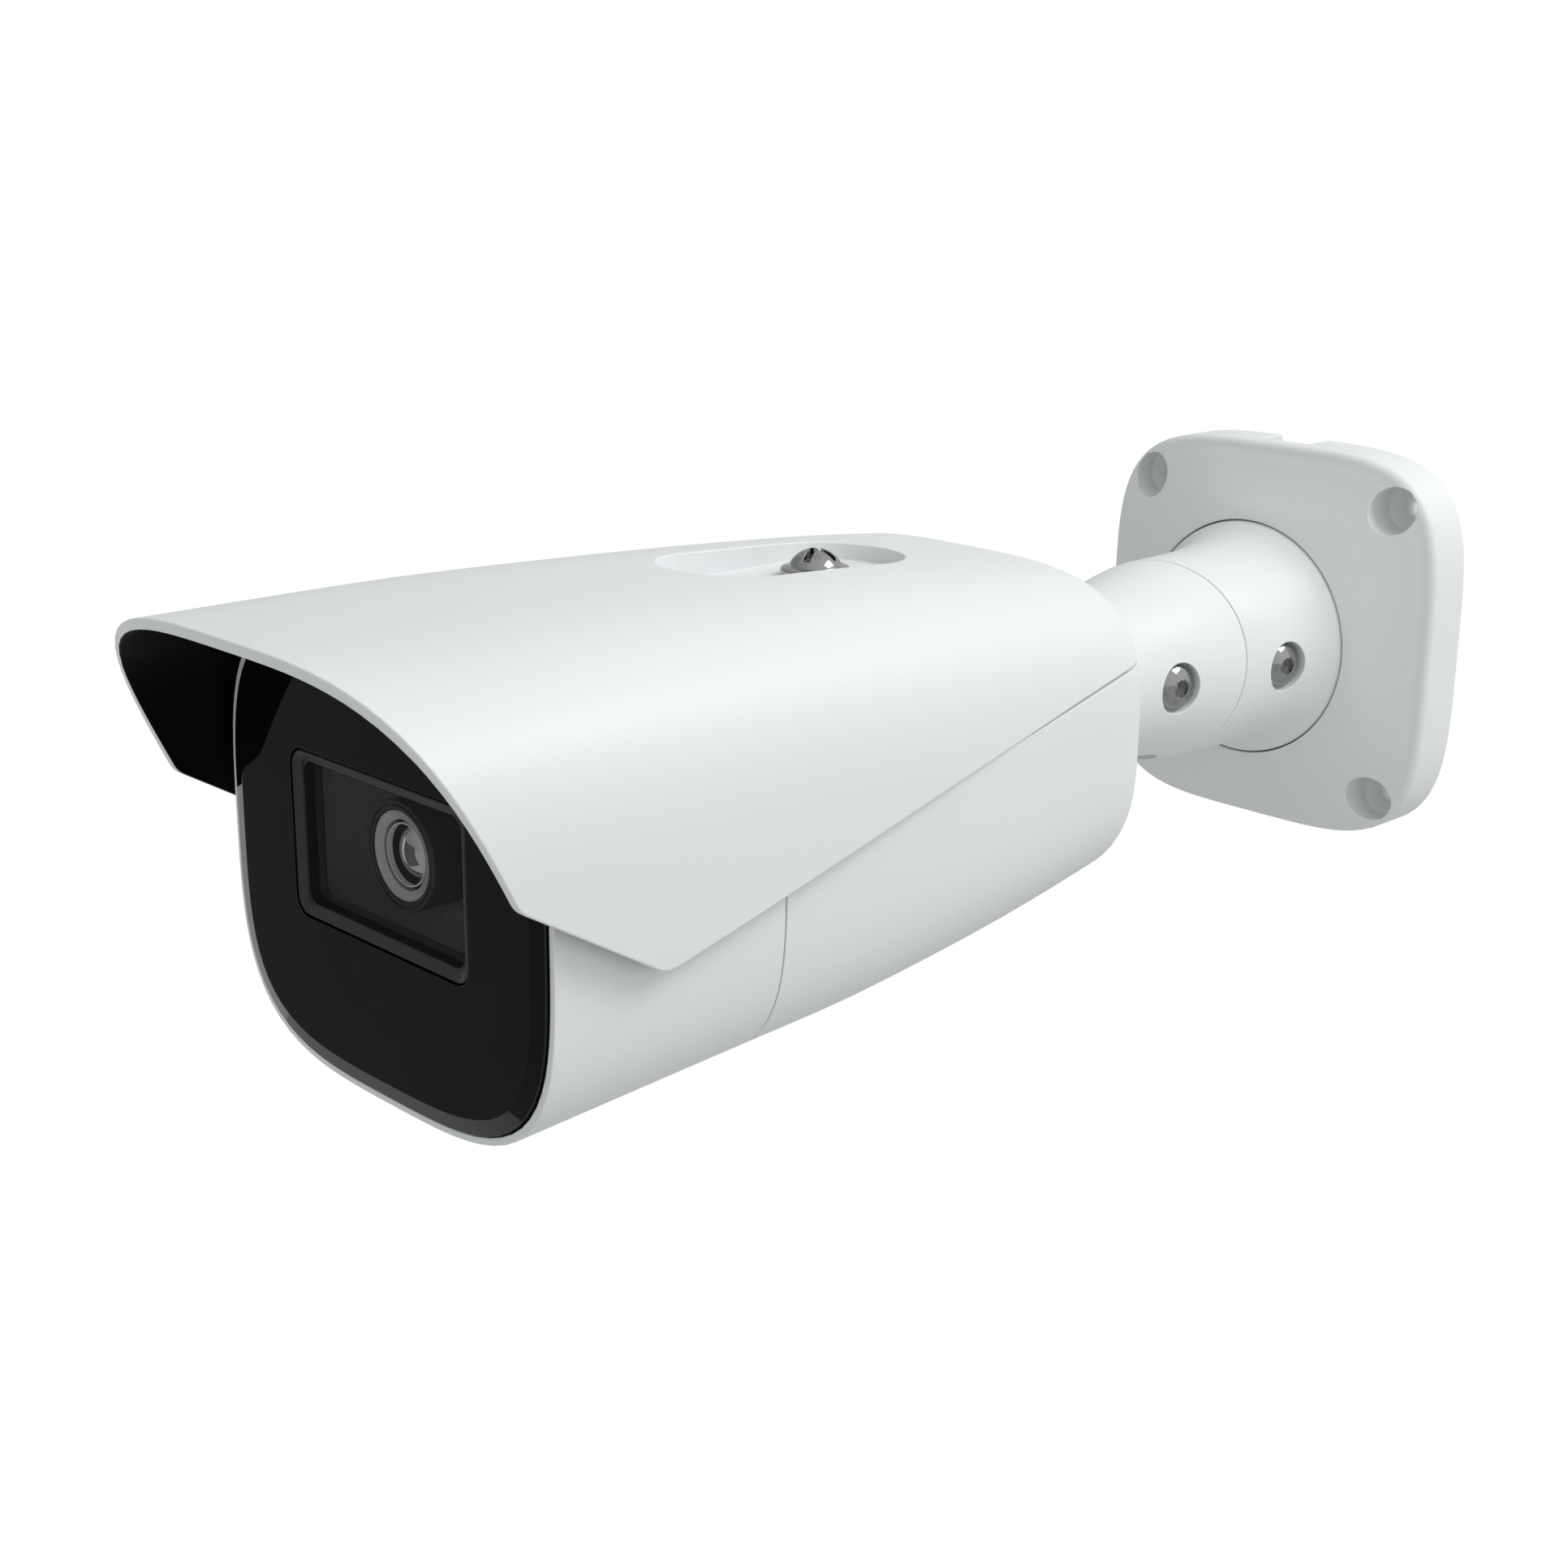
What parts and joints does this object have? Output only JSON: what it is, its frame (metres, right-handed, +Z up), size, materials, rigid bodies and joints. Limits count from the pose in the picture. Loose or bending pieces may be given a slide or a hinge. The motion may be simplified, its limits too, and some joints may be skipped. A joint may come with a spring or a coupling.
{
  "type": "security camera",
  "caption": "Bullet security camera with a sunshield, a black front glass over its lens, and a three-axis bracket on a square wall plate.",
  "frame": {"origin": "centre of the wall plate's back face, on the wall", "axes": "+Y into the wall, so the camera looks along -Y; +Z up; +X to the right as the wall is faced"},
  "size_m": [0.0966, 0.2762, 0.0863],
  "materials": {
    "white_metal": "fine satin powder coat",
    "gloss_black": "polished black glass",
    "black_plastic": "satin moulded",
    "clear_glass": "coated optical glass",
    "chrome": "polished",
    "steel": "bright zinc",
    "alloy": "as cast",
    "rubber": "matt",
    "circuit_board": "solder mask",
    "chip": "moulded",
    "white_plastic": "moulded"
  },
  "bodies": {
    "bracket_plate": {"wall_plate": "white_metal"},
    "pan_swivel": {"pan_cup": "white_metal", "pan_lock_screw": "chrome"},
    "arm": {"neck": "white_metal", "tilt_lock_screw": "chrome", "roll_lock_screw": "chrome", "tilt_retainer": "steel", "roll_retainer": "steel", "neck_seal": "rubber", "cable_bush": "rubber"},
    "filter": {"filter_carriage": "black_plastic", "filter_glass": "clear_glass", "clear_glass": "clear_glass"},
    "camera": {"rear_housing": "white_metal", "front_housing": "white_metal", "sunshield": "white_metal", "sunshield_screw": "chrome", "filter_motor": "steel", "capacitor_left": "steel", "capacitor_right": "steel", "housing_screw_upper_left": "steel", "housing_screw_upper_right": "steel", "housing_screw_lower_left": "steel", "housing_screw_lower_right": "steel", "housing_seal": "rubber", "window_seal": "rubber", "sunshield_washer": "rubber", "thermal_pad": "rubber", "front_window": "gloss_black", "lens_frame": "black_plastic", "lens_barrel": "black_plastic", "lens_holder": "black_plastic", "lens_pane": "clear_glass", "lens_front_glass": "clear_glass", "lens_rear_glass": "clear_glass", "lamp_1": "clear_glass", "lamp_2": "clear_glass", "lamp_3": "clear_glass", "lamp_4": "clear_glass", "lens_bezel": "steel", "image_sensor": "chip", "processor": "chip", "transformer": "chip", "sensor_board": "circuit_board", "lamp_board": "circuit_board", "main_board": "circuit_board", "board_connector": "white_plastic", "chassis": "alloy", "heat_sink": "alloy"}
  },
  "joints": [
    {"name": "pan", "type": "hinge", "parent": "bracket_plate", "child": "pan_swivel", "pos_m": [0, -0.02, 0], "axis": [0, -1, 0], "range_deg": [-180, 180]},
    {"name": "tilt", "type": "hinge", "parent": "pan_swivel", "child": "arm", "pos_m": [0, -0.0532, 0], "axis": [0.3548, -0.9239, 0.1434], "range_deg": [0, 180]},
    {"name": "roll", "type": "hinge", "parent": "arm", "child": "camera", "pos_m": [0, -0.106, 0], "axis": [0, -1, 0], "range_deg": [-180, 180]},
    {"name": "filter_shift", "type": "slide", "parent": "camera", "child": "filter", "axis": [-1, 0, 0], "range_m": [0, 0.008]}
  ]
}
